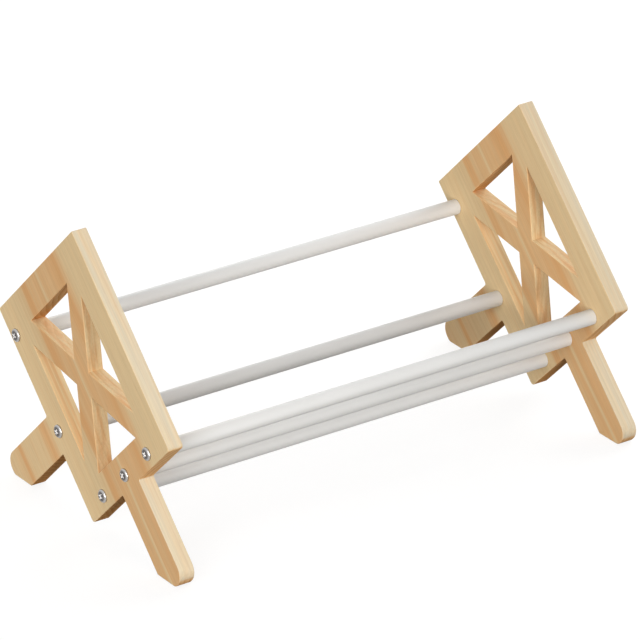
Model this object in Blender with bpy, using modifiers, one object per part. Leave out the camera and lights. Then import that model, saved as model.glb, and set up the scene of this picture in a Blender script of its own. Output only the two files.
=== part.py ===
# Desktop book rack: two pine side panels with X windows and legs in one outline, joined by five tubes
#
# Every piece is placed in the frame of the leaning boards, which an empty holds:
# its X runs across a board from the front edge to the rear edge,
# its Y runs up a board along the grain, and its Z runs along the tubes.
import math

import bmesh
import bpy
from mathutils import Matrix, Vector

# Side panels, each cut from one board
PANEL_LENGTH = 0.206  # along the grain, from the bottom edge to the top edge
PANEL_WIDTH = 0.1675  # from the front edge to the rear edge
PANEL_THICKNESS = 0.015
PANEL_TOP_CORNER_RADIUS = 0.001
PANEL_BOTTOM_CORNER_RADIUS = 0.0033
PANEL_EDGE_ROUNDING = 0.0008
PANEL_LEAN = math.radians(45)  # how far the boards lean back

# Window with the X left standing in it
WINDOW_SIDE_BORDER = 0.0295
WINDOW_TOP_BORDER = 0.0302
WINDOW_BOTTOM_BORDER = 0.03
CROSS_ARM_WIDTH = 0.0215

# Legs, cut in one with the boards
LEG_WIDTH = 0.036
FRONT_LEG_LENGTH = 0.0746  # rear side of the front leg, down to the foot
REAR_LEG_HEIGHT = 0.0658  # lower side of the rear leg, above the panel's bottom edge
LEG_ROOT_RADIUS = 0.002
FOOT_LENGTH = 0.0268  # flat that stands on the table
HEEL_RADIUS = 0.0015
FOOT_TIP_RADIUS = 0.006
TOE_RADIUS = 0.012

# Tubes
TUBE_LENGTH = 0.45
TUBE_RADIUS = 0.007
TUBE_WALL = 0.0012
TUBE_END_ROUNDING = 0.0004
SEAT_TUBE_HEIGHT = 0.012  # centre above the panel's bottom edge
SEAT_TUBE_SETBACK = 0.035  # outer seat tubes' centres, in from the front and rear edges
BACK_TUBE_INSET = 0.01  # centres in from the rear edge
BACK_TUBE_DROP = 0.03  # upper back tube's centre below the top edge

# Screws, M6 with a pan head and a cross recess
SCREW_RADIUS = 0.003
SCREW_LENGTH = 0.03  # under the head
SCREW_POINT_LENGTH = 0.0012
HEAD_RADIUS = 0.006
HEAD_HEIGHT = 0.0027
HEAD_RIM_HEIGHT = 0.0006
RECESS_SPAN = 0.0066
RECESS_SLOT = 0.0014
RECESS_DEPTH = 0.0018
RECESS_TAPER_SHARE = 0.55  # width at the recess's bottom, as a share of its width at the top

# Threaded plugs pressed into the tube ends
PLUG_LENGTH = 0.018
PLUG_RIB_COUNT = 3
PLUG_GROOVE_WALL_SHARE = 0.3  # depth of the grooves, as a share of the plug's wall

# Fits
SEAT_GAP = 0.0003  # between pieces that bear on each other
FIT_GAP = 0.0003  # round a shank in its hole and a plug in its tube
OVERRUN = 0.001  # how far a cutter runs out past the face that it cuts

# Facets
TUBE_SIDES = 32
SCREW_SIDES = 20
PLUG_SIDES = 16
HOLE_SIDES = 16
DOME_STEPS = 4
ARC_STEP = math.radians(18)
EDGE_STEPS = 2
DOME_POWER = 2.2  # 2 is a half ellipse, more is a flatter crown with a rounder shoulder
SMOOTH_ANGLE = math.radians(35)

# Unit directions on a board in the upright plane: (backwards, upwards)
ACROSS_BOARD = Vector((math.cos(PANEL_LEAN), -math.sin(PANEL_LEAN)))
ALONG_BOARD = Vector((math.sin(PANEL_LEAN), math.cos(PANEL_LEAN)))
LEVEL_ON_BOARD = Vector((math.cos(PANEL_LEAN), math.sin(PANEL_LEAN)))

SCREW_HOLE_RADIUS = SCREW_RADIUS + FIT_GAP
TUBE_BORE_RADIUS = TUBE_RADIUS - TUBE_WALL
PLUG_RADIUS = TUBE_BORE_RADIUS - FIT_GAP
PANEL_INNER_FACE = TUBE_LENGTH / 2 + SEAT_GAP
PANEL_OUTER_FACE = PANEL_INNER_FACE + PANEL_THICKNESS


def clear_scene():
    for leftover in list(bpy.data.objects):
        bpy.data.objects.remove(leftover, do_unlink=True)


def new_collection(name):
    collection = bpy.data.collections.new(name)
    bpy.context.scene.collection.children.link(collection)
    return collection


def new_material(name, colour, roughness, metallic):
    material = bpy.data.materials.new(name)
    material.use_nodes = True
    shader = material.node_tree.nodes["Principled BSDF"]
    shader.inputs["Base Color"].default_value = (*colour, 1)
    shader.inputs["Roughness"].default_value = roughness
    shader.inputs["Metallic"].default_value = metallic
    material.diffuse_color = (*colour, 1)
    return material


def pine():
    return new_material("pine", (0.68, 0.47, 0.25), 0.55, 0)


def white_paint():
    return new_material("white_paint", (0.82, 0.82, 0.79), 0.35, 0)


def bright_nickel():
    return new_material("bright_nickel", (0.72, 0.71, 0.69), 0.22, 1)


def zinc_plate():
    return new_material("zinc_plate", (0.58, 0.58, 0.57), 0.38, 1)


def put_in_frame(piece, frame, collection, across, along, out, turned=False):
    """Parents a piece to the boards' frame, turned so that its own +Z points out at the left end."""
    collection.objects.link(piece)
    piece.parent = frame
    piece.location = (across, along, out)
    if turned:
        piece.rotation_euler = (0, math.pi, 0)


# Outlines on a board


def rounded_outline(corners):
    """Points of a closed outline from its corners, each ((across, along), radius), with an arc at each corner."""
    points = []
    for index, (corner, radius) in enumerate(corners):
        tip = Vector(corner)
        back = (Vector(corners[index - 1][0]) - tip).normalized()
        ahead = (Vector(corners[(index + 1) % len(corners)][0]) - tip).normalized()
        half_angle = back.angle(ahead) / 2
        centre = tip + (back + ahead).normalized() * (radius / math.sin(half_angle))
        spoke = tip + back * (radius / math.tan(half_angle)) - centre
        sweep = math.pi - 2 * half_angle
        steps = max(1, math.ceil(sweep / ARC_STEP))
        side = math.copysign(1, ahead.cross(back))
        for step in range(steps + 1):
            points.append(centre + Matrix.Rotation(side * sweep * step / steps, 2) @ spoke)
    return points


def front_leg_sides():
    """Where the front leg, centred under the board, meets its bottom edge: (front side, rear side)."""
    return (PANEL_WIDTH - LEG_WIDTH) / 2, (PANEL_WIDTH + LEG_WIDTH) / 2


def front_foot():
    """Both ends of the front foot's flat, from its heel on the leg's rear side, level when the board leans."""
    heel = Vector((front_leg_sides()[1], -FRONT_LEG_LENGTH))
    return heel, heel - LEVEL_ON_BOARD * FOOT_LENGTH


def rear_foot():
    """Both ends of the rear foot's flat. The rear leg is as long as puts its flat level with the front one."""
    front_heel = front_foot()[0]
    drop = front_heel.x * math.sin(PANEL_LEAN) - front_heel.y * math.cos(PANEL_LEAN)
    reach = (drop + REAR_LEG_HEIGHT * math.cos(PANEL_LEAN)) / math.sin(PANEL_LEAN)
    heel = Vector((reach, REAR_LEG_HEIGHT))
    return heel, heel + LEVEL_ON_BOARD * FOOT_LENGTH


def toe_radius(end_width):
    """The toe's rounding, limited by what the tip's rounding leaves of the leg's square end."""
    return min(TOE_RADIUS, end_width - FOOT_TIP_RADIUS * math.tan(PANEL_LEAN / 2))


def panel_corners():
    """Corners of a side panel with its legs, from its top front corner down the front edge, with their radii."""
    front_side, rear_side = front_leg_sides()
    front_heel, front_tip = front_foot()
    rear_heel, rear_tip = rear_foot()
    rear_leg_top = REAR_LEG_HEIGHT + LEG_WIDTH
    return [
        ((0, PANEL_LENGTH), PANEL_TOP_CORNER_RADIUS),
        ((0, 0), PANEL_BOTTOM_CORNER_RADIUS),
        ((front_side, 0), LEG_ROOT_RADIUS),
        ((front_side, front_tip.y), toe_radius(front_tip.x - front_side)),
        (front_tip, FOOT_TIP_RADIUS),
        (front_heel, HEEL_RADIUS),
        ((rear_side, 0), LEG_ROOT_RADIUS),
        ((PANEL_WIDTH, 0), PANEL_BOTTOM_CORNER_RADIUS),
        ((PANEL_WIDTH, REAR_LEG_HEIGHT), LEG_ROOT_RADIUS),
        (rear_heel, HEEL_RADIUS),
        (rear_tip, FOOT_TIP_RADIUS),
        ((rear_tip.x, rear_leg_top), toe_radius(rear_leg_top - rear_tip.y)),
        ((PANEL_WIDTH, rear_leg_top), LEG_ROOT_RADIUS),
        ((PANEL_WIDTH, PANEL_LENGTH), PANEL_TOP_CORNER_RADIUS),
    ]


def window_triangles():
    """The four triangles that the X leaves open in the window."""
    low = Vector((WINDOW_SIDE_BORDER, WINDOW_BOTTOM_BORDER))
    high = Vector((PANEL_WIDTH - WINDOW_SIDE_BORDER, PANEL_LENGTH - WINDOW_TOP_BORDER))
    size = high - low
    middle = (low + high) / 2
    level_step = CROSS_ARM_WIDTH / 2 * size.length / size.y
    upright_step = CROSS_ARM_WIDTH / 2 * size.length / size.x
    return [
        [(low.x + level_step, high.y), (middle.x, middle.y + upright_step), (high.x - level_step, high.y)],
        [(high.x, high.y - upright_step), (middle.x + level_step, middle.y), (high.x, low.y + upright_step)],
        [(high.x - level_step, low.y), (middle.x, middle.y - upright_step), (low.x + level_step, low.y)],
        [(low.x, low.y + upright_step), (middle.x - level_step, middle.y), (low.x, high.y - upright_step)],
    ]


def tube_places():
    """Name of each tube and its centre on the board."""
    rear_line = PANEL_WIDTH - BACK_TUBE_INSET
    return {
        "seat_tube_front": (SEAT_TUBE_SETBACK, SEAT_TUBE_HEIGHT),
        "seat_tube_middle": (PANEL_WIDTH / 2, SEAT_TUBE_HEIGHT),
        "seat_tube_rear": (PANEL_WIDTH - SEAT_TUBE_SETBACK, SEAT_TUBE_HEIGHT),
        "back_tube_lower": (rear_line, REAR_LEG_HEIGHT + LEG_WIDTH / 2),
        "back_tube_upper": (rear_line, PANEL_LENGTH - BACK_TUBE_DROP),
    }


def circle_points(centre, radius):
    points = []
    for step in range(HOLE_SIDES):
        angle = math.tau * step / HOLE_SIDES
        points.append((centre[0] + radius * math.cos(angle), centre[1] + radius * math.sin(angle)))
    return points


# Pieces


def board_mesh(outlines, thickness):
    """A flat board from its outline and the outlines of its openings, centred on its own middle plane."""
    curve = bpy.data.curves.new("board", "CURVE")
    curve.dimensions = "2D"
    curve.fill_mode = "BOTH"
    curve.extrude = thickness / 2
    for outline in outlines:
        spline = curve.splines.new("POLY")
        spline.points.add(len(outline) - 1)
        for point, place in zip(spline.points, outline):
            point.co = (place[0], place[1], 0, 1)
        spline.use_cyclic_u = True
    guide = bpy.data.objects.new("board", curve)
    bpy.context.scene.collection.objects.link(guide)
    evaluated = guide.evaluated_get(bpy.context.evaluated_depsgraph_get())
    mesh = bpy.data.meshes.new_from_object(evaluated)
    bpy.data.objects.remove(guide)
    shell = bmesh.new()
    shell.from_mesh(mesh)
    bmesh.ops.remove_doubles(shell, verts=shell.verts, dist=SEAT_GAP / 10)
    bmesh.ops.dissolve_limit(shell, angle_limit=math.radians(1), verts=shell.verts, edges=shell.edges)
    bmesh.ops.recalc_face_normals(shell, faces=shell.faces)
    shell.to_mesh(mesh)
    shell.free()
    return mesh


def side_panel_mesh():
    holes = [circle_points(place, SCREW_HOLE_RADIUS) for place in tube_places().values()]
    mesh = board_mesh([rounded_outline(panel_corners()), *window_triangles(), *holes], PANEL_THICKNESS)
    mesh.name = "side_panel"
    return mesh


def make_side_panels(frame, collection):
    mesh = side_panel_mesh()
    mesh.materials.append(pine())
    middle = (PANEL_INNER_FACE + PANEL_OUTER_FACE) / 2
    for name, out in (("side_panel_left", -middle), ("side_panel_right", middle)):
        panel = bpy.data.objects.new(name, mesh)
        put_in_frame(panel, frame, collection, 0, 0, out)
        rounding = panel.modifiers.new("eased_edges", "BEVEL")
        rounding.width = PANEL_EDGE_ROUNDING
        rounding.segments = EDGE_STEPS
        rounding.limit_method = "ANGLE"
        rounding.angle_limit = SMOOTH_ANGLE
        rounding.harden_normals = False


def turned_object(name, profile, sides, closed):
    """A piece turned about its own Z from a profile of (radius, height) that runs down its outer side."""
    mesh = bpy.data.meshes.new(name)
    edges = [(index, index + 1) for index in range(len(profile) - 1)]
    if closed:
        edges.append((len(profile) - 1, 0))
    mesh.from_pydata([(radius, 0, height) for radius, height in profile], edges, [])
    turned = bpy.data.objects.new(name, mesh)
    lathe = turned.modifiers.new("turned", "SCREW")
    lathe.axis = "Z"
    lathe.angle = math.tau
    lathe.steps = sides
    lathe.render_steps = sides
    lathe.use_merge_vertices = True
    lathe.merge_threshold = SEAT_GAP / 10
    lathe.use_smooth_shade = True
    return turned


def finished_mesh(guide, name, cutters=()):
    """The mesh of a turned object after its modifiers and cuts. The object itself is removed."""
    bpy.context.scene.collection.objects.link(guide)
    for cutter in cutters:
        cut = guide.modifiers.new("cut", "BOOLEAN")
        cut.operation = "DIFFERENCE"
        cut.solver = "EXACT"
        cut.object = cutter
    evaluated = guide.evaluated_get(bpy.context.evaluated_depsgraph_get())
    mesh = bpy.data.meshes.new_from_object(evaluated)
    mesh.name = name
    mesh.shade_smooth()
    mesh.set_sharp_from_angle(angle=SMOOTH_ANGLE)
    bpy.data.objects.remove(guide)
    return mesh


def tube_mesh():
    half = TUBE_LENGTH / 2
    ease = TUBE_END_ROUNDING
    profile = [
        (TUBE_RADIUS - ease, half),
        (TUBE_RADIUS, half - ease),
        (TUBE_RADIUS, ease - half),
        (TUBE_RADIUS - ease, -half),
        (TUBE_BORE_RADIUS, -half),
        (TUBE_BORE_RADIUS, half),
    ]
    return finished_mesh(turned_object("tube", profile, TUBE_SIDES, True), "tube")


def make_tubes(frame, collection):
    mesh = tube_mesh()
    mesh.materials.append(white_paint())
    for name, (across, along) in tube_places().items():
        put_in_frame(bpy.data.objects.new(name, mesh), frame, collection, across, along, 0)


def plug_mesh():
    """A plug with its outer end at height 0 and ribs that grip the tube, bored for the screw."""
    bore = SCREW_RADIUS + FIT_GAP
    root = PLUG_RADIUS - PLUG_GROOVE_WALL_SHARE * (PLUG_RADIUS - bore)
    pitch = PLUG_LENGTH / (2 * PLUG_RIB_COUNT - 1)
    profile = []
    for rib in range(PLUG_RIB_COUNT):
        top = -2 * rib * pitch
        profile.append((PLUG_RADIUS, top))
        profile.append((PLUG_RADIUS, top - pitch))
        if rib < PLUG_RIB_COUNT - 1:
            profile.append((root, top - pitch))
            profile.append((root, top - 2 * pitch))
    profile.append((bore, -PLUG_LENGTH))
    profile.append((bore, 0))
    return finished_mesh(turned_object("plug", profile, PLUG_SIDES, True), "threaded_plug")


def recess_cutter(name, collection, angle):
    """One bar of the cross recess, a tapered bar as deep as the recess."""
    depth = RECESS_DEPTH + OVERRUN
    mesh = bpy.data.meshes.new(name)
    bar = bmesh.new()
    bmesh.ops.create_cone(
        bar,
        cap_ends=True,
        segments=4,
        radius1=RECESS_SPAN * RECESS_TAPER_SHARE / math.sqrt(2),
        radius2=RECESS_SPAN / math.sqrt(2),
        depth=depth,
        matrix=Matrix.Rotation(math.radians(45), 4, "Z"),
    )
    bmesh.ops.scale(bar, vec=(1, RECESS_SLOT / RECESS_SPAN, 1), verts=bar.verts)
    bmesh.ops.rotate(bar, matrix=Matrix.Rotation(angle, 3, "Z"), verts=bar.verts)
    bmesh.ops.translate(bar, vec=(0, 0, HEAD_HEIGHT + OVERRUN - depth / 2), verts=bar.verts)
    bar.to_mesh(mesh)
    bar.free()
    cutter = bpy.data.objects.new(name, mesh)
    collection.objects.link(cutter)
    cutter.hide_render = True
    cutter.display_type = "WIRE"
    return cutter


def screw_mesh(cutters):
    """A screw that stands on height 0 under its head, with the head above and the shank below."""
    profile = []
    for step in range(DOME_STEPS + 1):
        angle = math.pi / 2 * (1 - step / DOME_STEPS)
        radius = HEAD_RADIUS * max(0, math.cos(angle)) ** (2 / DOME_POWER)
        rise = (HEAD_HEIGHT - HEAD_RIM_HEIGHT) * math.sin(angle) ** (2 / DOME_POWER)
        profile.append((radius if step else 0, HEAD_RIM_HEIGHT + rise))
    tip = SCREW_RADIUS - SCREW_POINT_LENGTH
    profile += [
        (HEAD_RADIUS, 0),
        (SCREW_RADIUS, 0),
        (SCREW_RADIUS, SCREW_POINT_LENGTH - SCREW_LENGTH),
        (tip, -SCREW_LENGTH),
        (0, -SCREW_LENGTH),
    ]
    return finished_mesh(turned_object("screw", profile, SCREW_SIDES, False), "screw", cutters)


def make_fasteners(frame, collection, cutter_collection):
    cutters = [
        recess_cutter("recess_bar_across", cutter_collection, 0),
        recess_cutter("recess_bar_along", cutter_collection, math.pi / 2),
    ]
    screw = screw_mesh(cutters)
    screw.materials.append(bright_nickel())
    plug = plug_mesh()
    plug.materials.append(zinc_plate())
    for tube, (across, along) in tube_places().items():
        for side, out in (("left", -1), ("right", 1)):
            turned = side == "left"
            tube_end = out * TUBE_LENGTH / 2
            head_seat = out * (PANEL_OUTER_FACE + SEAT_GAP)
            plug_piece = bpy.data.objects.new(f"plug_{side}_{tube}", plug)
            put_in_frame(plug_piece, frame, collection, across, along, tube_end, turned)
            screw_piece = bpy.data.objects.new(f"screw_{side}_{tube}", screw)
            put_in_frame(screw_piece, frame, collection, across, along, head_seat, turned)


def boards_frame(collection):
    """The empty that holds the leaning boards' frame, set so that the feet stand on the floor, centred."""
    outline = rounded_outline(panel_corners())
    depths = [point.x * ACROSS_BOARD.x + point.y * ALONG_BOARD.x for point in outline]
    heights = [point.x * ACROSS_BOARD.y + point.y * ALONG_BOARD.y for point in outline]
    across = Vector((0, *ACROSS_BOARD))
    along = Vector((0, *ALONG_BOARD))
    out = Vector((1, 0, 0))
    frame = bpy.data.objects.new("boards_frame", None)
    collection.objects.link(frame)
    frame.rotation_euler = Matrix((across, along, out)).transposed().to_euler()
    frame.location = (0, -(min(depths) + max(depths)) / 2, -min(heights))
    return frame


def build():
    clear_scene()
    rack = new_collection("book_rack")
    cutter_collection = new_collection("cutters")
    frame = boards_frame(rack)
    make_side_panels(frame, rack)
    make_tubes(frame, rack)
    make_fasteners(frame, rack, cutter_collection)


build()
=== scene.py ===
# Desktop book rack: two pine side boards with an X window, joined by five white tubes and nickel screws
import math

import bmesh
import bpy
from mathutils import Matrix, Vector


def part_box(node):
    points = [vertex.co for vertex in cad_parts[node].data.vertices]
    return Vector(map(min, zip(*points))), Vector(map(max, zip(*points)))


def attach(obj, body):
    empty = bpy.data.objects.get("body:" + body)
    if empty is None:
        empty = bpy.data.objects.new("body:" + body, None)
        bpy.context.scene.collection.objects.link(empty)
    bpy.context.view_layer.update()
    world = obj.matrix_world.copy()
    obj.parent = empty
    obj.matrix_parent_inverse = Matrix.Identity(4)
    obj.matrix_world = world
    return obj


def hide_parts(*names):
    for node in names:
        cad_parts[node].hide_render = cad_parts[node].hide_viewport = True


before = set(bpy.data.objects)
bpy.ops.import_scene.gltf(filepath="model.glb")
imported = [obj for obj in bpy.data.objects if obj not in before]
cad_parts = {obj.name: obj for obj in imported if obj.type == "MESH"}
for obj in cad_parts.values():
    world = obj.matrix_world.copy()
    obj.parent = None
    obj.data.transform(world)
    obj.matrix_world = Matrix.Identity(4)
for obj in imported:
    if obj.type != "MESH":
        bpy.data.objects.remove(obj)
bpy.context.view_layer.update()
print("loaded the frame:", len(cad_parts), "solids")

scene = bpy.context.scene


def addObject(name, data):
    thing = bpy.data.objects.new(name, data)
    scene.collection.objects.link(thing)
    return thing


def addNode(tree, kind, values=None, **settings):
    node = tree.nodes.new(kind)
    for key, value in settings.items():
        setattr(node, key, value)
    for key, value in (values or {}).items():
        node.inputs[key].default_value = value
    return node


def join(tree, *pairs):
    for fromSocket, toSocket in pairs:
        tree.links.new(fromSocket, toSocket)


def calc(tree, operation, first, second=None, third=None, clamp=False):
    # one Math node, each input a socket or a number
    node = addNode(tree, "ShaderNodeMath", operation=operation, use_clamp=clamp)
    for socket, value in zip(node.inputs, (first, second, third)):
        if value is None:
            continue
        if isinstance(value, bpy.types.NodeSocket):
            tree.links.new(value, socket)
        else:
            socket.default_value = value
    return node.outputs[0]


def spread(tree, value, low, high, newLow=0.0, newHigh=1.0):
    # smooth remap of a value from one range to another
    node = addNode(tree, "ShaderNodeMapRange", interpolation_type="SMOOTHSTEP")
    join(tree, (value, node.inputs[0]))
    for index, number in enumerate((low, high, newLow, newHigh), 1):
        node.inputs[index].default_value = number
    return node.outputs[0]


def noise(tree, vector, scale, detail=2.0, roughness=0.5):
    # noise with its own scale along each axis
    stretch = addNode(tree, "ShaderNodeVectorMath", operation="MULTIPLY")
    stretch.inputs[1].default_value = scale
    node = addNode(tree, "ShaderNodeTexNoise", {"Scale": 1.0, "Detail": detail, "Roughness": roughness})
    join(tree, (vector, stretch.inputs[0]), (stretch.outputs[0], node.inputs["Vector"]))
    return node.outputs["Fac"]


def howAligned(tree, normal, axis):
    # 1 where a face looks along the axis or straight against it
    node = addNode(tree, "ShaderNodeVectorMath", operation="DOT_PRODUCT")
    node.inputs[1].default_value = axis
    join(tree, (normal, node.inputs[0]))
    return calc(tree, "ABSOLUTE", node.outputs["Value"])


def blendColour(tree, factor, first, second, blendType="MIX"):
    node = addNode(tree, "ShaderNodeMix", data_type="RGBA", blend_type=blendType)
    for socket, value in ((node.inputs[0], factor), (node.inputs[6], first), (node.inputs[7], second)):
        if isinstance(value, bpy.types.NodeSocket):
            tree.links.new(value, socket)
        elif isinstance(value, (int, float)):
            socket.default_value = value
        else:
            socket.default_value = (*value, 1)
    return node.outputs[2]


def newGroup(name, inputs, outputs):
    group = bpy.data.node_groups.new(name, "ShaderNodeTree")
    for label, kind, value in inputs:
        socket = group.interface.new_socket(label, in_out="INPUT", socket_type=kind)
        if value is not None:
            socket.default_value = value
    for label in outputs:
        group.interface.new_socket(label, in_out="OUTPUT", socket_type="NodeSocketFloat")
    return group, addNode(group, "NodeGroupInput"), addNode(group, "NodeGroupOutput")


def useGroup(tree, group, values):
    node = addNode(tree, "ShaderNodeGroup", node_tree=group)
    for key, value in values.items():
        if isinstance(value, bpy.types.NodeSocket):
            tree.links.new(value, node.inputs[key])
        else:
            node.inputs[key].default_value = value
    return node


def newMaterial(name):
    material = bpy.data.materials.new(name)
    material.use_nodes = True
    return material, material.node_tree, material.node_tree.nodes["Principled BSDF"]


def dressShader(tree, shader, look, colour, rough, height):
    # what pine, paint and plating share
    bump = addNode(tree, "ShaderNodeBump", {"Strength": look["bumpStrength"], "Distance": look["bumpDepth"]})
    join(tree, (height, bump.inputs["Height"]), (bump.outputs[0], shader.inputs["Normal"]),
         (colour, shader.inputs["Base Color"]), (rough, shader.inputs["Roughness"]))


pineLook = {
    "cream": (0.75, 0.563, 0.318),
    "tan": (0.71, 0.395, 0.17),
    "sideWoodAndSheen": (0.675, 0.60, 0.46),  # the paler wood of the narrow faces beside the grain, partly a painted sheen of light on those faces
    "lateWood": (0.80, 0.62, 0.45),  # multiplies the colour where a growth ring is dark
    "endGrain": (0.785, 0.485, 0.235),  # where the grain is cut across
    "shadedRearEndGrain": (0.605, 0.285, 0.085),  # the same darkened towards the rear edge, a painted shade where the front leg and the rack shade the cut ends
    "shadedEndReach": (0.07, 0.14),  # where across the board the end grain turns into its painted shade
    "fleckColour": (0.42, 0.24, 0.11),
    "fleckStrength": 0.16,
    "endStrength": 0.85,
    "sideStrength": 0.92,
    "sideHidesBands": 0.75,
    "ringGap": 0.0058,
    "faceRings": 0.10,
    "slantRings": 0.3,
    "sideHidesRings": 0.9,
    "endRings": 0.9,
    "slantPaintedLight": 1.08,  # the window's cut walls are painted a little lighter than the faces, as painted light
    "rearLift": 1.12,  # lighter towards the rear edge
    "rearLiftReach": (0.125, 0.16),
    "fibreStrength": 0.7,
    "fibreRange": (0.25, 0.75),
    "fibreDark": 0.10,
    "fibreLight": 0.06,
    "roughness": 0.5,
    "fibreRoughness": 0.12,
    "endRoughness": 0.38,  # added on the cut ends, which soak up the finish
    "shine": 0.12,
    "finishCoat": 0.05,
    "coatRoughness": 0.4,
    "fibreHeight": 0.6,
    "ringHeight": -0.3,
    "bumpStrength": 0.35,
    "bumpDepth": 0.00006,
    "leftShift": 0.0,
    "rightShift": 0.37,
}

# broad bands across the board, (place in from the front edge in metres, how tan it is)
pineBands = [
    (0.000, 0.06), (0.034, 0.14), (0.042, 0.55), (0.050, 0.92), (0.057, 0.72),
    (0.068, 0.60), (0.081, 0.66), (0.0845, 0.22), (0.088, 0.62), (0.105, 0.50),
    (0.111, 0.85), (0.115, 0.80), (0.120, 0.28), (0.134, 0.12), (0.146, 0.24),
    (0.167, 0.06), (0.172, 0.42), (0.179, 0.82), (0.185, 0.72), (0.191, 0.34),
    (0.202, 0.24), (0.226, 0.30), (0.232, 0.85), (0.238, 0.34), (0.262, 0.42),
]
bandReach = pineBands[-1][0]

# scales are across, along and out of the board, ranges are where a smooth step starts and ends
grainPattern = {
    "driftScale": (9.0, 5.0, 9.0), "driftDetail": 1.0, "driftWidth": 0.010,
    "cloudScale": (34.0, 3.5, 34.0), "cloudAmount": 0.5,
    "streakScale": (170.0, 5.0, 170.0), "streakRoughness": 0.55, "streakAmount": 0.4,
    "bandRange": (0.02, 0.95),
    "pithAcross": 0.085, "pithOut": 0.155, "swayScale": (6.0, 3.0, 6.0), "swayWidth": 0.05,
    "jitterScale": (24.0, 2.0, 24.0), "jitterTurns": 1.6, "ringPower": 1.8, "ringFade": 0.9,
    "fibreScale": (620.0, 14.0, 620.0), "fibreDetail": 4.0, "fibreRoughness": 0.6,
    "fleckScale": (1300.0, 70.0, 1300.0), "fleckDetail": 1.0, "fleckRange": (0.66, 0.74),
    "endRange": (0.84, 0.98), "sideRange": (0.5, 0.85), "legSideLift": 0.35,
    "windowReach": (0.02, 0.155), "slantRange": (0.35, 0.7),
    "layerScale": (60.0, 4.0, 230.0), "layerRange": (0.40, 0.64), "layerTan": 0.6,
    "sideStreakRange": (0.2, 0.62), "sideStreakFade": 0.55,
}
grainOutputs = ("Band", "Ring", "Fibre", "Fleck", "End", "Side", "Slant")


def makeBandRamp(tree):
    ramp = addNode(tree, "ShaderNodeValToRGB")
    ramp.color_ramp.interpolation = "EASE"
    stops = ramp.color_ramp.elements
    stops[0].position, stops[1].position = 0.0, 1.0
    stops[0].color = (*[pineBands[0][1]] * 3, 1)
    stops[1].color = (*[pineBands[-1][1]] * 3, 1)
    for where, value in pineBands[1:-1]:
        stops.new(where / bandReach).color = (value, value, value, 1)
    return ramp


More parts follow.
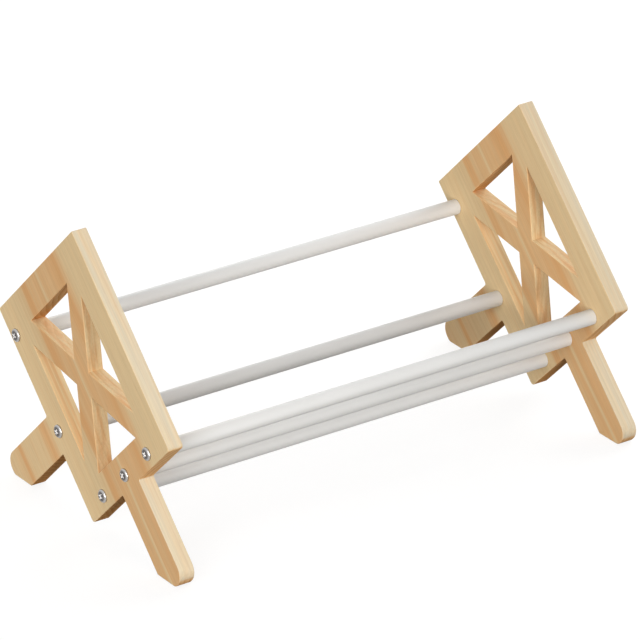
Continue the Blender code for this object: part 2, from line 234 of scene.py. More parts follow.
def makeGrainGroup():
    g = grainPattern
    inputs = [
        ("Board Point", "NodeSocketVector", None), ("Face Normal", "NodeSocketVector", None),
        ("Shift", "NodeSocketFloat", 0.0), ("Ring Gap", "NodeSocketFloat", pineLook["ringGap"]),
    ]
    group, start, end = newGroup("pineGrain", inputs, grainOutputs)
    given = start.outputs
    parts = addNode(group, "ShaderNodeSeparateXYZ")
    apart = addNode(group, "ShaderNodeCombineXYZ")
    shifted = addNode(group, "ShaderNodeVectorMath", operation="ADD")
    join(group, (given["Board Point"], parts.inputs[0]), (given["Shift"], apart.inputs["Z"]),
         (given["Board Point"], shifted.inputs[0]), (apart.outputs[0], shifted.inputs[1]))
    across, along, out = parts.outputs["X"], parts.outputs["Y"], parts.outputs["Z"]
    point = shifted.outputs[0]  # gives each board its own part of the noise

    # the bands wander slowly up the board
    drift = noise(group, point, g["driftScale"], g["driftDetail"])
    wander = calc(group, "MULTIPLY_ADD", drift, g["driftWidth"], -g["driftWidth"] / 2)
    place = calc(group, "DIVIDE", calc(group, "ADD", across, wander), bandReach, clamp=True)
    ramp = makeBandRamp(group)
    join(group, (place, ramp.inputs[0]))
    cloud = noise(group, point, g["cloudScale"])
    streak = noise(group, point, g["streakScale"], roughness=g["streakRoughness"])
    middle = -(g["cloudAmount"] + g["streakAmount"]) / 2
    uneven = calc(group, "MULTIPLY_ADD", streak, g["streakAmount"], middle)
    uneven = calc(group, "MULTIPLY_ADD", cloud, g["cloudAmount"], uneven)
    band = spread(group, calc(group, "ADD", ramp.outputs[0], uneven), *g["bandRange"])

    # growth rings round a pith that lies well outside the board
    sway = noise(group, point, g["swayScale"])
    bend = calc(group, "MULTIPLY_ADD", sway, g["swayWidth"], -g["pithAcross"])
    pith = addNode(group, "ShaderNodeCombineXYZ")
    distance = addNode(group, "ShaderNodeVectorMath", operation="LENGTH")
    join(group, (calc(group, "ADD", across, bend), pith.inputs["X"]),
         (calc(group, "ADD", calc(group, "ABSOLUTE", out), -g["pithOut"]), pith.inputs["Y"]),
         (pith.outputs[0], distance.inputs[0]))
    jitter = calc(group, "MULTIPLY", noise(group, point, g["jitterScale"]), g["jitterTurns"])
    turns = calc(group, "DIVIDE", distance.outputs["Value"], given["Ring Gap"])
    saw = calc(group, "FRACT", calc(group, "ADD", turns, jitter))
    ringEnd = spread(group, saw, g["ringFade"], 1.0, 1.0, 0.0)
    ring = calc(group, "MULTIPLY", calc(group, "POWER", saw, g["ringPower"]), ringEnd)

    fibre = noise(group, point, g["fibreScale"], g["fibreDetail"], g["fibreRoughness"])
    dashes = noise(group, point, g["fleckScale"], g["fleckDetail"])

    turn = boardTurn()
    cut = howAligned(group, given["Face Normal"], turn.col[1])
    sideways = howAligned(group, given["Face Normal"], turn.col[0])
    # below the board's bottom edge the pale side wood and its painted sheen run on round the toe
    onLeg = calc(group, "LESS_THAN", along, 0.0)
    side = spread(group, calc(group, "MULTIPLY_ADD", onLeg, g["legSideLift"], sideways), *g["sideRange"])
    # the window's walls take none of it
    windowStart, windowEnd = g["windowReach"]
    inBorders = calc(group, "MULTIPLY", calc(group, "GREATER_THAN", across, windowStart),
                     calc(group, "LESS_THAN", across, windowEnd))
    inWindow = calc(group, "MULTIPLY", inBorders, calc(group, "SUBTRACT", 1.0, onLeg))
    side = calc(group, "MULTIPLY", side, calc(group, "SUBTRACT", 1.0, inWindow))
    sideStreaks = spread(group, streak, *g["sideStreakRange"], 1.0, g["sideStreakFade"])
    side = calc(group, "MULTIPLY", side, sideStreaks)
    slant = spread(group, sideways, *g["slantRange"])

    # walls cut through the board show soft bands of their own
    layers = noise(group, point, g["layerScale"])
    wallBand = spread(group, layers, *g["layerRange"], 0.0, g["layerTan"])
    band = calc(group, "MULTIPLY_ADD", calc(group, "SUBTRACT", wallBand, band), slant, band)
    fleck = spread(group, dashes, *g["fleckRange"])
    endCut = spread(group, cut, *g["endRange"])
    for label, value in zip(grainOutputs, (band, ring, fibre, fleck, endCut, side, slant)):
        join(group, (value, end.inputs[label]))
    return group


def makePine(name, grain, shift, corner):
    # corner is the board's own bottom front corner, where across and along start
    look = pineLook
    material, tree, shader = newMaterial(name)
    where = addNode(tree, "ShaderNodeTexCoord")
    turn = addNode(tree, "ShaderNodeMapping", vector_type="TEXTURE")  # world axes to across, along and out
    turn.inputs["Location"].default_value = corner
    turn.inputs["Rotation"].default_value = boardTurn().to_euler()
    boardParts = addNode(tree, "ShaderNodeSeparateXYZ")
    join(tree, (where.outputs["Object"], turn.inputs["Vector"]), (turn.outputs[0], boardParts.inputs[0]))
    across = boardParts.outputs["X"]
    node = useGroup(tree, grain, {
        "Board Point": turn.outputs[0], "Face Normal": where.outputs["Normal"],
        "Shift": shift, "Ring Gap": look["ringGap"],
    })
    band, ring, fibre, fleck, endCut, side, slant = [node.outputs[label] for label in grainOutputs]

    bands = calc(tree, "MULTIPLY", band, calc(tree, "MULTIPLY_ADD", side, -look["sideHidesBands"], 1.0))
    colour = blendColour(tree, bands, look["cream"], look["tan"])
    colour = blendColour(tree, calc(tree, "MULTIPLY", side, look["sideStrength"]), colour, look["sideWoodAndSheen"])
    # towards the rear the end grain darkens into painted shade
    shadeTowardsRear = spread(tree, across, *look["shadedEndReach"])
    endGrainAndShade = blendColour(tree, shadeTowardsRear, look["endGrain"], look["shadedRearEndGrain"])
    colour = blendColour(tree, calc(tree, "MULTIPLY", endCut, look["endStrength"]), colour, endGrainAndShade)
    hiddenRings = -look["slantRings"] * look["sideHidesRings"]
    faceRings = calc(tree, "MULTIPLY_ADD", side, hiddenRings, look["faceRings"])
    wallRings = calc(tree, "MULTIPLY_ADD", slant, look["slantRings"], faceRings)
    allRings = calc(tree, "MULTIPLY_ADD", endCut, look["endRings"], wallRings)
    ringAmount = calc(tree, "MULTIPLY", ring, allRings, clamp=True)
    ringShade = blendColour(tree, ringAmount, (1, 1, 1), look["lateWood"])
    fibreShade = spread(tree, fibre, *look["fibreRange"], 1.0 - look["fibreDark"] * look["fibreStrength"],
                        1.0 + look["fibreLight"] * look["fibreStrength"])
    for shade in (ringShade, fibreShade):
        colour = blendColour(tree, 1.0, colour, shade, "MULTIPLY")
    fleckAmount = calc(tree, "MULTIPLY", fleck, look["fleckStrength"])
    colour = blendColour(tree, fleckAmount, colour, look["fleckColour"])
    # the window's walls are lifted a little in colour, as painted light
    wallPaintedLight = calc(tree, "MULTIPLY_ADD", calc(tree, "SUBTRACT", slant, side), look["slantPaintedLight"] - 1, 1.0)
    rearShade = spread(tree, across, *look["rearLiftReach"], 1.0, look["rearLift"])
    colour = blendColour(tree, 1.0, colour, calc(tree, "MULTIPLY", rearShade, wallPaintedLight), "MULTIPLY")

    evenRoughness = look["roughness"] - look["fibreRoughness"] / 2
    rough = calc(tree, "MULTIPLY_ADD", endCut, look["endRoughness"], evenRoughness)
    rough = calc(tree, "ADD", calc(tree, "MULTIPLY", fibre, look["fibreRoughness"]), rough)
    height = calc(tree, "ADD", calc(tree, "MULTIPLY", fibre, look["fibreHeight"]),
                  calc(tree, "MULTIPLY", ring, look["ringHeight"]))
    dressShader(tree, shader, look, colour, rough, height)
    coat = calc(tree, "MULTIPLY_ADD", endCut, -look["finishCoat"], look["finishCoat"])
    join(tree, (coat, shader.inputs["Coat Weight"]))
    shader.inputs["Specular IOR Level"].default_value = look["shine"]
    shader.inputs["Coat Roughness"].default_value = look["coatRoughness"]
    return material


unevenPattern = {
    "slowDetail": 2.0, "fineDetail": 3.0, "slowRange": (0.3, 0.7),
    # thin rubbed marks that run along the row, and where they gather
    "lineScale": (26.0, 900.0, 900.0), "lineRoughness": 0.6, "lineRange": (0.60, 0.70),
    "placeScale": (14.0, 60.0, 60.0), "placeDetail": 1.0, "placeRange": (0.52, 0.66),
}


def makeUnevenGroup():
    # slow unevenness and fine grit that paint and plating share
    u = unevenPattern
    inputs = [
        ("Point", "NodeSocketVector", None), ("Slow Scale", "NodeSocketFloat", 30.0),
        ("Fine Scale", "NodeSocketFloat", 900.0),
    ]
    group, start, end = newGroup("unevenSurface", inputs, ("Slow", "Fine", "Scuff"))
    given = start.outputs
    lines = noise(group, given["Point"], u["lineScale"], roughness=u["lineRoughness"])
    where = noise(group, given["Point"], u["placeScale"], u["placeDetail"])
    marks = spread(group, lines, *u["lineRange"])
    scuff = calc(group, "MULTIPLY", marks, spread(group, where, *u["placeRange"]))
    join(group, (scuff, end.inputs["Scuff"]))
    for label, detail in (("Slow", u["slowDetail"]), ("Fine", u["fineDetail"])):
        texture = addNode(group, "ShaderNodeTexNoise", {"Detail": detail})
        join(group, (given["Point"], texture.inputs["Vector"]),
             (given[label + " Scale"], texture.inputs["Scale"]), (texture.outputs["Fac"], end.inputs[label]))
    return group


def makeCoating(name, uneven, look):
    material, tree, shader = newMaterial(name)
    where = addNode(tree, "ShaderNodeTexCoord")
    node = useGroup(tree, uneven, {
        "Point": where.outputs["Object"], "Slow Scale": look["slowScale"], "Fine Scale": look["fineScale"],
    })
    slow, scuff = node.outputs["Slow"], node.outputs["Scuff"]
    base = look["colour"]
    rough = calc(tree, "MULTIPLY_ADD", slow, look["roughSpread"], look["roughness"] - look["roughSpread"] / 2)
    rough = calc(tree, "MULTIPLY_ADD", scuff, look["scuffRough"], rough)
    if "glintColour" in look:
        # painted highlights in the recess and on the rim
        paintedGlint = addNode(tree, "ShaderNodeAttribute", attribute_name="paintedGlint").outputs["Fac"]
        base = blendColour(tree, paintedGlint, base, look["glintColour"])
        rough = calc(tree, "ADD", rough, spread(tree, paintedGlint, *look["recessRange"], 0.0, look["recessRough"]))
    shade = spread(tree, slow, *unevenPattern["slowRange"], 1.0 - look["shadeSpread"], 1.0)
    colour = blendColour(tree, 1.0, base, shade, "MULTIPLY")
    scuffAmount = calc(tree, "MULTIPLY", scuff, look["scuffStrength"])
    colour = blendColour(tree, scuffAmount, colour, look["scuffColour"])
    dressShader(tree, shader, look, colour, rough, node.outputs["Fine"])
    shader.inputs["Metallic"].default_value = look["metallic"]
    return material


whitePaintLook = {
    "colour": (0.725, 0.72, 0.705), "metallic": 0.0, "roughness": 0.48, "roughSpread": 0.08,
    "shadeSpread": 0.02, "slowScale": 22.0, "fineScale": 1400.0, "bumpStrength": 0.25, "bumpDepth": 0.00008,
    "scuffStrength": 0.10, "scuffColour": (0.52, 0.51, 0.49), "scuffRough": -0.12,
}
nickelLook = {
    # the head's dark colour stands in for the dark room it reflects, a painted reflection
    "colour": (0.14, 0.128, 0.125), "metallic": 1.0, "roughness": 0.27, "roughSpread": 0.10,
    "shadeSpread": 0.10, "slowScale": 260.0, "fineScale": 5200.0, "bumpStrength": 0.15, "bumpDepth": 0.00003,
    "scuffStrength": 0.30, "scuffColour": (0.45, 0.43, 0.42), "scuffRough": 0.12,
    "glintColour": (0.9, 0.89, 0.88),  # the recess and the rim painted bright, as painted highlights
    "recessRange": (0.85, 1.0), "recessRough": 0.28,
}
zincLook = {
    "colour": (0.56, 0.56, 0.57), "metallic": 1.0, "roughness": 0.40, "roughSpread": 0.16,
    "shadeSpread": 0.12, "slowScale": 320.0, "fineScale": 3000.0, "bumpStrength": 0.3, "bumpDepth": 0.00005,
    "scuffStrength": 0.35, "scuffColour": (0.72, 0.72, 0.73), "scuffRough": 0.1,
}


boardSizes = {
    "length": 0.206, "width": 0.1675, "thickness": 0.015,
    "topCorner": 0.001, "bottomCorner": 0.0033, "easedEdge": 0.0008, "easedSteps": 4,
    "windowSide": 0.0295, "windowTop": 0.0302, "windowBottom": 0.03, "armWidth": 0.0215,
    "legWidth": 0.036, "frontLegLength": 0.0746, "rearLegHeight": 0.0658, "legRoot": 0.002,
    "footLength": 0.0268, "heel": 0.0015, "footTip": 0.006, "toe": 0.012,
    "seatTubeHeight": 0.012, "seatTubeSetback": 0.035, "backTubeInset": 0.01, "backTubeDrop": 0.03,
    "screwHole": 0.0033, "lean": math.radians(45), "arcStep": math.radians(6), "holeSides": 32,
    "sharpAngle": math.radians(35),
}


def boardTurn():
    # columns are across, along and out in the row's own axes
    lean = boardSizes["lean"]
    across = Vector((0, math.cos(lean), -math.sin(lean)))
    along = Vector((0, math.sin(lean), math.cos(lean)))
    return Matrix((across, along, Vector((1, 0, 0)))).transposed()


def roundedOutline(corners):
    # closed outline with an arc at each ((across, along), radius)
    points = []
    for index, (corner, radius) in enumerate(corners):
        tip = Vector(corner)
        back = (Vector(corners[index - 1][0]) - tip).normalized()
        ahead = (Vector(corners[(index + 1) % len(corners)][0]) - tip).normalized()
        halfAngle = back.angle(ahead) / 2
        centre = tip + (back + ahead).normalized() * (radius / math.sin(halfAngle))
        spoke = tip + back * (radius / math.tan(halfAngle)) - centre
        sweep = math.pi - 2 * halfAngle
        steps = max(2, math.ceil(sweep / boardSizes["arcStep"]))
        side = math.copysign(1, ahead.cross(back))
        for step in range(steps + 1):
            points.append(centre + Matrix.Rotation(side * sweep * step / steps, 2) @ spoke)
    return points


def boardCorners():
    b = boardSizes
    level = Vector((math.cos(b["lean"]), math.sin(b["lean"])))  # runs level on the leaning board
    frontSide = (b["width"] - b["legWidth"]) / 2
    rearSide = frontSide + b["legWidth"]
    frontHeel = Vector((rearSide, -b["frontLegLength"]))
    frontTip = frontHeel - level * b["footLength"]
    rearHeel = Vector((rearSide + b["frontLegLength"] + b["rearLegHeight"], b["rearLegHeight"]))
    rearTip = rearHeel + level * b["footLength"]
    rearTop = b["rearLegHeight"] + b["legWidth"]
    return [
        ((0, b["length"]), b["topCorner"]), ((0, 0), b["bottomCorner"]), ((frontSide, 0), b["legRoot"]),
        ((frontSide, frontTip.y), b["toe"]), (frontTip, b["footTip"]), (frontHeel, b["heel"]),
        ((rearSide, 0), b["legRoot"]), ((b["width"], 0), b["bottomCorner"]),
        ((b["width"], b["rearLegHeight"]), b["legRoot"]), (rearHeel, b["heel"]), (rearTip, b["footTip"]),
        ((rearTip.x, rearTop), b["toe"]), ((b["width"], rearTop), b["legRoot"]),
        ((b["width"], b["length"]), b["topCorner"]),
    ]


def windowTriangles():
    b = boardSizes
    low = Vector((b["windowSide"], b["windowBottom"]))
    high = Vector((b["width"] - b["windowSide"], b["length"] - b["windowTop"]))
    size, middle = high - low, (low + high) / 2
    levelStep = b["armWidth"] / 2 * size.length / size.y
    uprightStep = b["armWidth"] / 2 * size.length / size.x
    return [
        [(low.x + levelStep, high.y), (middle.x, middle.y + uprightStep), (high.x - levelStep, high.y)],
        [(high.x, high.y - uprightStep), (middle.x + levelStep, middle.y), (high.x, low.y + uprightStep)],
        [(high.x - levelStep, low.y), (middle.x, middle.y - uprightStep), (low.x + levelStep, low.y)],
        [(low.x, low.y + uprightStep), (middle.x - levelStep, middle.y), (low.x, high.y - uprightStep)],
    ]


def tubePlaces():
    b = boardSizes
    rearLine = b["width"] - b["backTubeInset"]
    return {
        "seat_tube_front": (b["seatTubeSetback"], b["seatTubeHeight"]),
        "seat_tube_middle": (b["width"] / 2, b["seatTubeHeight"]),
        "seat_tube_rear": (b["width"] - b["seatTubeSetback"], b["seatTubeHeight"]),
        "back_tube_lower": (rearLine, b["rearLegHeight"] + b["legWidth"] / 2),
        "back_tube_upper": (rearLine, b["length"] - b["backTubeDrop"]),
    }


def boardPlacement():
    # puts the outline where the CAD panel stands
    turn = boardTurn()
    outline = [turn @ Vector((p.x, p.y, 0)) for p in roundedOutline(boardCorners())]
    low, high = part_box("side_panel_left")
    middle = (min(p.y for p in outline) + max(p.y for p in outline)) / 2
    corner = Vector((0, (low.y + high.y) / 2 - middle, low.z - min(p.z for p in outline)))
    return Matrix.Translation(corner) @ turn.to_4x4()


def plainMesh(carrier, name):
    # the evaluated mesh of an object, which is then removed
    evaluated = carrier.evaluated_get(bpy.context.evaluated_depsgraph_get())
    mesh = bpy.data.meshes.new_from_object(evaluated)
    mesh.name = name
    bpy.data.objects.remove(carrier)
    return mesh


weldDistance = 0.000005  # loose caps are joined and slivers dropped below this


def outwardMesh(mesh, sharpAngle):
    shell = bmesh.new()
    shell.from_mesh(mesh)
    bmesh.ops.remove_doubles(shell, verts=shell.verts, dist=weldDistance)
    bmesh.ops.dissolve_degenerate(shell, dist=weldDistance, edges=shell.edges)
    bmesh.ops.recalc_face_normals(shell, faces=shell.faces)
    shell.to_mesh(mesh)
    shell.free()
    mesh.shade_smooth()
    mesh.set_sharp_from_angle(angle=sharpAngle)


def boardMesh():
    b = boardSizes
    holes = []
    for across, along in tubePlaces().values():
        turns = [math.tau * step / b["holeSides"] for step in range(b["holeSides"])]
        radius = b["screwHole"]
        holes.append([(across + radius * math.cos(a), along + radius * math.sin(a)) for a in turns])
    curve = bpy.data.curves.new("boardOutline", "CURVE")
    curve.dimensions, curve.fill_mode = "2D", "BOTH"
    # the round edge is turned inwards, so the outline keeps its size
    curve.extrude = b["thickness"] / 2 - b["easedEdge"]
    curve.bevel_depth, curve.offset, curve.bevel_resolution = b["easedEdge"], -b["easedEdge"], b["easedSteps"]
    for outline in [roundedOutline(boardCorners()), *windowTriangles(), *holes]:
        spline = curve.splines.new("POLY")
        spline.points.add(len(outline) - 1)
        for point, place in zip(spline.points, outline):
            point.co = (place[0], place[1], 0, 1)
        spline.use_cyclic_u = True
    mesh = plainMesh(addObject("boardOutline", curve), "boardBlank")
    outwardMesh(mesh, b["sharpAngle"])
    blank = addObject("boardBlank", mesh)
    flat = blank.modifiers.new("flatFaces", "WEIGHTED_NORMAL")
    flat.keep_sharp = True
    return plainMesh(blank, "boardSolid")


def makeBoards(materials):
    placement = boardPlacement()
    solid = boardMesh()
    for side, material in zip(("left", "right"), materials):
        node = "side_panel_" + side
        low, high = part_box(node)
        mesh = solid.copy()
        mesh.transform(Matrix.Translation(((low.x + high.x) / 2, 0, 0)) @ placement)
        for vertex in mesh.vertices:  # the finer arcs reach a few hundredths of a millimetre further
            vertex.co = [min(max(value, least), most) for value, least, most in zip(vertex.co, low, high)]
        mesh.materials.clear()
        mesh.materials.append(material)
        piece = addObject("board_" + side, mesh)
        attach(piece, "root")
        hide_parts(node)
    print("side boards made:", len(solid.polygons), "faces each")


# inputs of the tree that turns a wall section round each tube's axis
tubeSizes = {
    "Radius": 0.007, "Wall": 0.0012, "Length": 0.45, "End Rounding": 0.0004,
    "Sides": 72, "Rounding Steps": 5,
}
tubeSharpAngle = math.radians(40)


def newModifierTree(name, inputs):
    tree = bpy.data.node_groups.new(name, "GeometryNodeTree")
    tree.interface.new_socket("Geometry", in_out="INPUT", socket_type="NodeSocketGeometry")
    for label, kind in inputs:
        tree.interface.new_socket(label, in_out="INPUT", socket_type=kind)
    tree.interface.new_socket("Geometry", in_out="OUTPUT", socket_type="NodeSocketGeometry")
    return tree, addNode(tree, "NodeGroupInput"), addNode(tree, "NodeGroupOutput")


def addModifier(carrier, tree, values):
    modifier = carrier.modifiers.new(tree.name, "NODES")
    modifier.node_group = tree
    sockets = {item.name: item.identifier for item in tree.interface.items_tree if item.in_out == "INPUT"}
    for label, value in values.items():
        modifier[sockets[label]] = value


def pointCarrier(name, places, outward=None):
    mesh = bpy.data.meshes.new(name)
    mesh.from_pydata(places, [], [])
    if outward:
        attribute = mesh.attributes.new("outward", "FLOAT_VECTOR", "POINT")
        attribute.data.foreach_set("vector", [number for vector in outward for number in vector])
    return addObject(name, mesh)


def tubeTree():
    tree, start, end = newModifierTree("turnedTubes", [
        ("Radius", "NodeSocketFloat"), ("Wall", "NodeSocketFloat"), ("Length", "NodeSocketFloat"),
        ("End Rounding", "NodeSocketFloat"), ("Sides", "NodeSocketInt"), ("Rounding Steps", "NodeSocketInt"),
        ("Paint", "NodeSocketMaterial"),
    ])
    given = start.outputs
    path = addNode(tree, "GeometryNodeCurvePrimitiveCircle")
    middleRadius = calc(tree, "SUBTRACT", given["Radius"], calc(tree, "MULTIPLY", given["Wall"], 0.5))
    section = addNode(tree, "GeometryNodeCurvePrimitiveQuadrilateral")
    fillet = addNode(tree, "GeometryNodeFilletCurve", {"Limit Radius": True}, mode="POLY")
    sweep = addNode(tree, "GeometryNodeCurveToMesh")
    lay = addNode(tree, "GeometryNodeTransform")
    lay.inputs["Rotation"].default_value = (0, math.pi / 2, 0)
    place = addNode(tree, "GeometryNodeInstanceOnPoints")
    real = addNode(tree, "GeometryNodeRealizeInstances")
    paint = addNode(tree, "GeometryNodeSetMaterial")
    join(tree, (given["Sides"], path.inputs["Resolution"]), (middleRadius, path.inputs["Radius"]),
         (given["Wall"], section.inputs["Width"]), (given["Length"], section.inputs["Height"]),
         (section.outputs[0], fillet.inputs["Curve"]), (given["End Rounding"], fillet.inputs["Radius"]),
         (given["Rounding Steps"], fillet.inputs["Count"]), (path.outputs[0], sweep.inputs["Curve"]),
         (fillet.outputs[0], sweep.inputs["Profile Curve"]), (sweep.outputs[0], lay.inputs["Geometry"]),
         (given["Geometry"], place.inputs["Points"]), (lay.outputs[0], place.inputs["Instance"]),
         (place.outputs[0], real.inputs[0]), (real.outputs[0], paint.inputs["Geometry"]),
         (given["Paint"], paint.inputs["Material"]), (paint.outputs[0], end.inputs[0]))
    return tree


def makeTubes(paint):
    placement = boardPlacement()
    places = [placement @ Vector((across, along, 0)) for across, along in tubePlaces().values()]
    carrier = pointCarrier("tubeCentres", places)
    addModifier(carrier, tubeTree(), {**tubeSizes, "Paint": paint})
    mesh = plainMesh(carrier, "tubes")
    outwardMesh(mesh, tubeSharpAngle)
    piece = addObject("tubes", mesh)
    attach(piece, "root")
    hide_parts(*tubePlaces())
    print("tubes made:", len(mesh.polygons), "faces")


screwSizes = {
    "headRadius": 0.006, "headHeight": 0.0027, "rimHeight": 0.0006, "domePower": 2.2, "domeSteps": 14,
    "headChamfer": 0.0001, "shankRadius": 0.003, "shankLength": 0.03, "pointLength": 0.0012,
    "threadPitch": 0.001, "threadDepth": 0.00035, "plainPitches": 2,
    "recessSpan": 0.0066, "recessSlot": 0.0014, "recessDepth": 0.0018, "recessTaper": 0.55,
    "recessOverrun": 0.001, "sides": 50, "poleMerge": 0.00002, "softEdge": 0.00012, "softSteps": 2,
    "softAngle": math.radians(40), "sharpAngle": math.radians(35), "headTurnSeed": 3,
    # where the painted highlights lie, as shares of the head's radius
    "glintRim": 0.62, "glintFade": 0.25, "rimBrightness": 0.5, "recessMargin": 0.02,
    "recessSkin": 0.0002,  # how far under the dome the recess counts as inside
}


def screwProfile():
    # (radius, height) from the top of the dome to the point
    k = screwSizes
    profile = []
    for step in range(k["domeSteps"] + 1):
        angle = math.pi / 2 * (1 - step / k["domeSteps"])
        radius = k["headRadius"] * max(0, math.cos(angle)) ** (2 / k["domePower"])
        rise = (k["headHeight"] - k["rimHeight"]) * math.sin(angle) ** (2 / k["domePower"])
        profile.append((radius if step else 0, k["rimHeight"] + rise))
    underHead = k["headRadius"] - k["headChamfer"]
    profile += [(k["headRadius"], k["headChamfer"]), (underHead, 0), (k["shankRadius"], 0)]
    threadEnd = k["pointLength"] - k["shankLength"]
    height = -k["plainPitches"] * k["threadPitch"]
    while height - k["threadPitch"] > threadEnd:
        groove = (k["shankRadius"] - k["threadDepth"], height - k["threadPitch"] / 2)
        profile += [(k["shankRadius"], height), groove]
        height -= k["threadPitch"]
    point = (k["shankRadius"] - k["pointLength"], -k["shankLength"])
    return profile + [(k["shankRadius"], threadEnd), point, (0, -k["shankLength"])]


def recessCutter(angle):
    # one bar of the cross recess, narrower at its bottom
    k = screwSizes
    depth = k["recessDepth"] + k["recessOverrun"]
    bar = bmesh.new()
    bmesh.ops.create_cone(
        bar, cap_ends=True, segments=4, radius1=k["recessSpan"] * k["recessTaper"] / math.sqrt(2),
        radius2=k["recessSpan"] / math.sqrt(2), depth=depth, matrix=Matrix.Rotation(math.radians(45), 4, "Z"),
    )
    bmesh.ops.scale(bar, vec=(1, k["recessSlot"] / k["recessSpan"], 1), verts=bar.verts)
    bmesh.ops.rotate(bar, matrix=Matrix.Rotation(angle, 3, "Z"), verts=bar.verts)
    bmesh.ops.translate(bar, vec=(0, 0, k["headHeight"] + k["recessOverrun"] - depth / 2), verts=bar.verts)
    mesh = bpy.data.meshes.new("recessBar")
    bar.to_mesh(mesh)
    bar.free()
    return addObject("recessBar", mesh)


def markPaintedGlint(mesh):
    # the recess and the rim are painted bright, as painted highlights
    k = screwSizes
    recessReach = k["recessSpan"] / 2 / k["headRadius"] + k["recessMargin"]
    paintedGlint = mesh.attributes.new("paintedGlint", "FLOAT", "FACE")
    for face in mesh.polygons:
        middle = face.center
        away = math.hypot(middle.x, middle.y) / k["headRadius"]
        crown = max(0, 1 - away ** k["domePower"]) ** (1 / k["domePower"])
        dome = k["rimHeight"] + (k["headHeight"] - k["rimHeight"]) * crown
        inside = away < recessReach and 0 < middle.z < dome - k["recessSkin"]
        towardsRim = min(1.0, max(0.0, (away - k["glintRim"]) / k["glintFade"]))
        rim = towardsRim * k["rimBrightness"] if middle.z > 0 else 0.0
        paintedGlint.data[face.index].value = 1.0 if inside else rim


def screwMesh():
    k = screwSizes
    profile = screwProfile()
    mesh = bpy.data.meshes.new("screwBlank")
    edges = [(index, index + 1) for index in range(len(profile) - 1)]
    mesh.from_pydata([(radius, 0, height) for radius, height in profile], edges, [])
    blank = addObject("screwBlank", mesh)
    lathe = blank.modifiers.new("turned", "SCREW")
    lathe.axis, lathe.angle, lathe.steps, lathe.render_steps = "Z", math.tau, k["sides"], k["sides"]
    lathe.use_merge_vertices, lathe.merge_threshold = True, k["poleMerge"]
    cutters = [recessCutter(angle) for angle in (0, math.pi / 2)]
    for cutter in cutters:
        cut = blank.modifiers.new("recess", "BOOLEAN")
        cut.operation, cut.solver, cut.object = "DIFFERENCE", "EXACT", cutter
    easing = blank.modifiers.new("softEdges", "BEVEL")
    easing.width, easing.segments = k["softEdge"], k["softSteps"]
    easing.limit_method, easing.angle_limit = "ANGLE", k["softAngle"]
    mesh = plainMesh(blank, "screw")
    for cutter in cutters:
        bpy.data.objects.remove(cutter)
    outwardMesh(mesh, k["sharpAngle"])
    markPaintedGlint(mesh)
    return mesh


def screwTree():
    tree, start, end = newModifierTree("screwsOnBoards", [
        ("Screw", "NodeSocketObject"), ("Turn Seed", "NodeSocketInt"), ("Plating", "NodeSocketMaterial"),
    ])
    given = start.outputs
    source = addNode(tree, "GeometryNodeObjectInfo", transform_space="ORIGINAL")
    outward = addNode(tree, "GeometryNodeInputNamedAttribute", {"Name": "outward"}, data_type="FLOAT_VECTOR")
    aim = addNode(tree, "FunctionNodeAlignRotationToVector", axis="Z")
    chance = addNode(tree, "FunctionNodeRandomValue", data_type="FLOAT")
    chance.inputs[2].default_value, chance.inputs[3].default_value = 0.0, math.pi / 2
    spin = addNode(tree, "FunctionNodeAxisAngleToRotation")
    spin.inputs["Axis"].default_value = (0, 0, 1)
    turn = addNode(tree, "FunctionNodeRotateRotation", rotation_space="LOCAL")
    place = addNode(tree, "GeometryNodeInstanceOnPoints")
    real = addNode(tree, "GeometryNodeRealizeInstances")
    plating = addNode(tree, "GeometryNodeSetMaterial")
    join(tree, (given["Screw"], source.inputs["Object"]), (outward.outputs[0], aim.inputs["Vector"]),
         (given["Turn Seed"], chance.inputs["Seed"]), (chance.outputs[1], spin.inputs["Angle"]),
         (aim.outputs[0], turn.inputs["Rotation"]), (spin.outputs[0], turn.inputs["Rotate By"]),
         (given["Geometry"], place.inputs["Points"]), (source.outputs["Geometry"], place.inputs["Instance"]),
         (turn.outputs[0], place.inputs["Rotation"]), (place.outputs[0], real.inputs[0]),
         (real.outputs[0], plating.inputs["Geometry"]), (given["Plating"], plating.inputs["Material"]),
         (plating.outputs[0], end.inputs[0]))
    return tree


def makeScrews(plating):
    placement = boardPlacement()
    places, outward, nodes = [], [], []
    for side, sign in (("left", -1), ("right", 1)):
        for tube, (across, along) in tubePlaces().items():
            node = f"screw_{side}_{tube}"
            low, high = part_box(node)
            seat = sign * (max(abs(low.x), abs(high.x)) - screwSizes["headHeight"])
            centre = placement @ Vector((across, along, 0))
            places.append((seat, centre.y, centre.z))
            outward.append((sign, 0, 0))
            nodes.append(node)
    source = addObject("screwSource", screwMesh())
    carrier = pointCarrier("screwSeats", places, outward)
    inputs = {"Screw": source, "Turn Seed": screwSizes["headTurnSeed"], "Plating": plating}
    addModifier(carrier, screwTree(), inputs)
    mesh = plainMesh(carrier, "screws")
    bpy.data.objects.remove(source)
    mesh.shade_smooth()
    mesh.set_sharp_from_angle(angle=screwSizes["sharpAngle"])
    piece = addObject("screws", mesh)
    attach(piece, "root")
    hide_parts(*nodes)
    print("screws made:", len(mesh.polygons), "faces")


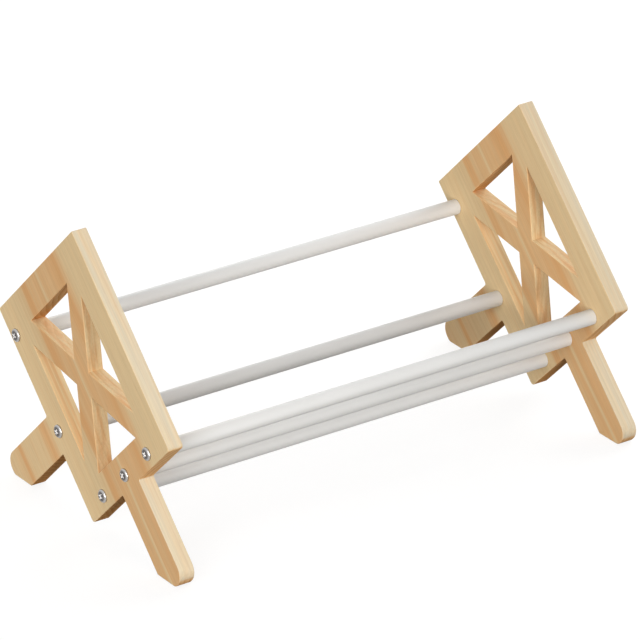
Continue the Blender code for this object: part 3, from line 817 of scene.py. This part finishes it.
studio = {
    "floorSize": 60.0, "floorDrop": 0.0002, "floorSeen": (0.22, 0.217, 0.214),
    "floorBounce": (0.055, 0.046, 0.036), "floorGlow": 0.83, "farGlow": 0.93, "glowReach": (1.2, 4.5),
    "worldShade": (0.97, 0.985, 1.0), "worldStrength": 0.39, "aimHeight": 0.12,
    # name: (place, size across, watts, colour)
    "lamps": {
        "keyFront": ((-0.24, -2.85, 0.3), 0.9, 42.0, (1.0, 0.99, 0.975)),
        "fillLeft": ((-2.3, -1.4, 0.85), 2.0, 59.0, (1.0, 0.99, 0.975)),
        "fillRight": ((2.6, 0.7, 1.2), 2.0, 60.0, (1.0, 0.99, 0.98)),
        "rear": ((0.9, 2.7, 1.4), 2.0, 38.0, (0.98, 0.99, 1.0)),
    },
}
cameraView = {
    "yaw": 34.8404, "pitch": 25.7114, "roll": 0.1133, "distance": 5.39274, "right": -0.000606, "up": 0.11765,
    "lensPixels": 6170.46, "framePixels": 640, "sensorWidth": 36.0, "clip": (0.1, 100.0),
}


def whoSees(tree):
    # the camera's rays, and with them those that metal and glass send to the room
    rays = addNode(tree, "ShaderNodeLightPath").outputs
    seen = calc(tree, "MAXIMUM", rays["Is Camera Ray"], rays["Is Glossy Ray"])
    return rays["Is Camera Ray"], calc(tree, "MAXIMUM", seen, rays["Is Transmission Ray"])


def makeFloor():
    half, drop = studio["floorSize"] / 2, studio["floorDrop"]
    corners = [(-half, -half, -drop), (half, -half, -drop), (half, half, -drop), (-half, half, -drop)]
    mesh = bpy.data.meshes.new("floor")
    mesh.from_pydata(corners, [], [(0, 1, 2, 3)])
    floor = addObject("floor", mesh)
    material, tree, shader = newMaterial("paleFloor")
    shader.inputs["Roughness"].default_value = 1.0
    shader.inputs["Specular IOR Level"].default_value = 0.0
    cameraRay, seen = whoSees(tree)
    pale = blendColour(tree, cameraRay, studio["floorBounce"], studio["floorSeen"])
    # the glow makes up for the lamps further out, so the floor stays one white
    where = addNode(tree, "ShaderNodeTexCoord")
    reach = addNode(tree, "ShaderNodeVectorMath", operation="LENGTH")
    join(tree, (pale, shader.inputs["Base Color"]), (where.outputs["Object"], reach.inputs[0]))
    glows = (studio["floorGlow"], studio["farGlow"])
    steady = spread(tree, reach.outputs["Value"], *studio["glowReach"], *glows)
    glow = addNode(tree, "ShaderNodeEmission")
    both = addNode(tree, "ShaderNodeAddShader")
    join(tree, (calc(tree, "MULTIPLY", seen, steady), glow.inputs["Strength"]),
         (shader.outputs[0], both.inputs[0]), (glow.outputs[0], both.inputs[1]),
         (both.outputs[0], tree.nodes["Material Output"].inputs["Surface"]))
    mesh.materials.append(material)


def makeWorld():
    world = bpy.data.worlds.new("studioWorld")
    world.use_nodes = True
    tree = world.node_tree
    backdrop = tree.nodes["Background"]
    seen = whoSees(tree)[1]
    shade = blendColour(tree, seen, studio["worldShade"], (1, 1, 1))
    strength = calc(tree, "MULTIPLY_ADD", seen, 1.0 - studio["worldStrength"], studio["worldStrength"])
    join(tree, (shade, backdrop.inputs["Color"]), (strength, backdrop.inputs["Strength"]))
    scene.world = world


def makeLamps():
    for name, (place, size, watts, colour) in studio["lamps"].items():
        lamp = bpy.data.lights.new(name, "AREA")
        lamp.size, lamp.energy, lamp.color = size, watts, colour
        holder = addObject(name, lamp)
        holder.location = place
        aim = Vector((0, 0, studio["aimHeight"])) - Vector(place)
        holder.rotation_euler = aim.to_track_quat("-Z", "Y").to_euler()


def makeCamera():
    v = cameraView
    yaw, pitch, roll = (math.radians(v[key]) for key in ("yaw", "pitch", "roll"))
    back = Vector((-math.sin(yaw) * math.cos(pitch), -math.cos(yaw) * math.cos(pitch), math.sin(pitch)))
    right = Vector((math.cos(yaw), -math.sin(yaw), 0))
    up = back.cross(right)
    right, up = right * math.cos(roll) + up * math.sin(roll), up * math.cos(roll) - right * math.sin(roll)
    lens = bpy.data.cameras.new("photoCamera")
    lens.sensor_width = v["sensorWidth"]
    lens.lens = v["lensPixels"] / v["framePixels"] * lens.sensor_width
    lens.clip_start, lens.clip_end = v["clip"]
    camera = addObject("photoCamera", lens)
    place = right * v["right"] + up * v["up"] + back * v["distance"]
    camera.matrix_world = Matrix.Translation(place) @ Matrix((right, up, back)).transposed().to_4x4()
    scene.camera = camera


grain = makeGrainGroup()
uneven = makeUnevenGroup()
corner = boardPlacement().translation
pines = [makePine("pine_" + side, grain, pineLook[side + "Shift"], corner) for side in ("left", "right")]
print("materials made")
makeBoards(pines)
makeTubes(makeCoating("white_paint", uneven, whitePaintLook))
makeScrews(makeCoating("bright_nickel", uneven, nickelLook))
zinc = makeCoating("zinc_plate", uneven, zincLook)
for name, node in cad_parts.items():
    if name.startswith("plug_"):
        node.data.materials.clear()
        node.data.materials.append(zinc)
makeFloor()
makeWorld()
makeLamps()
makeCamera()
scene.view_settings.view_transform = "Standard"
print("studio made")

bpy.context.view_layer.update()
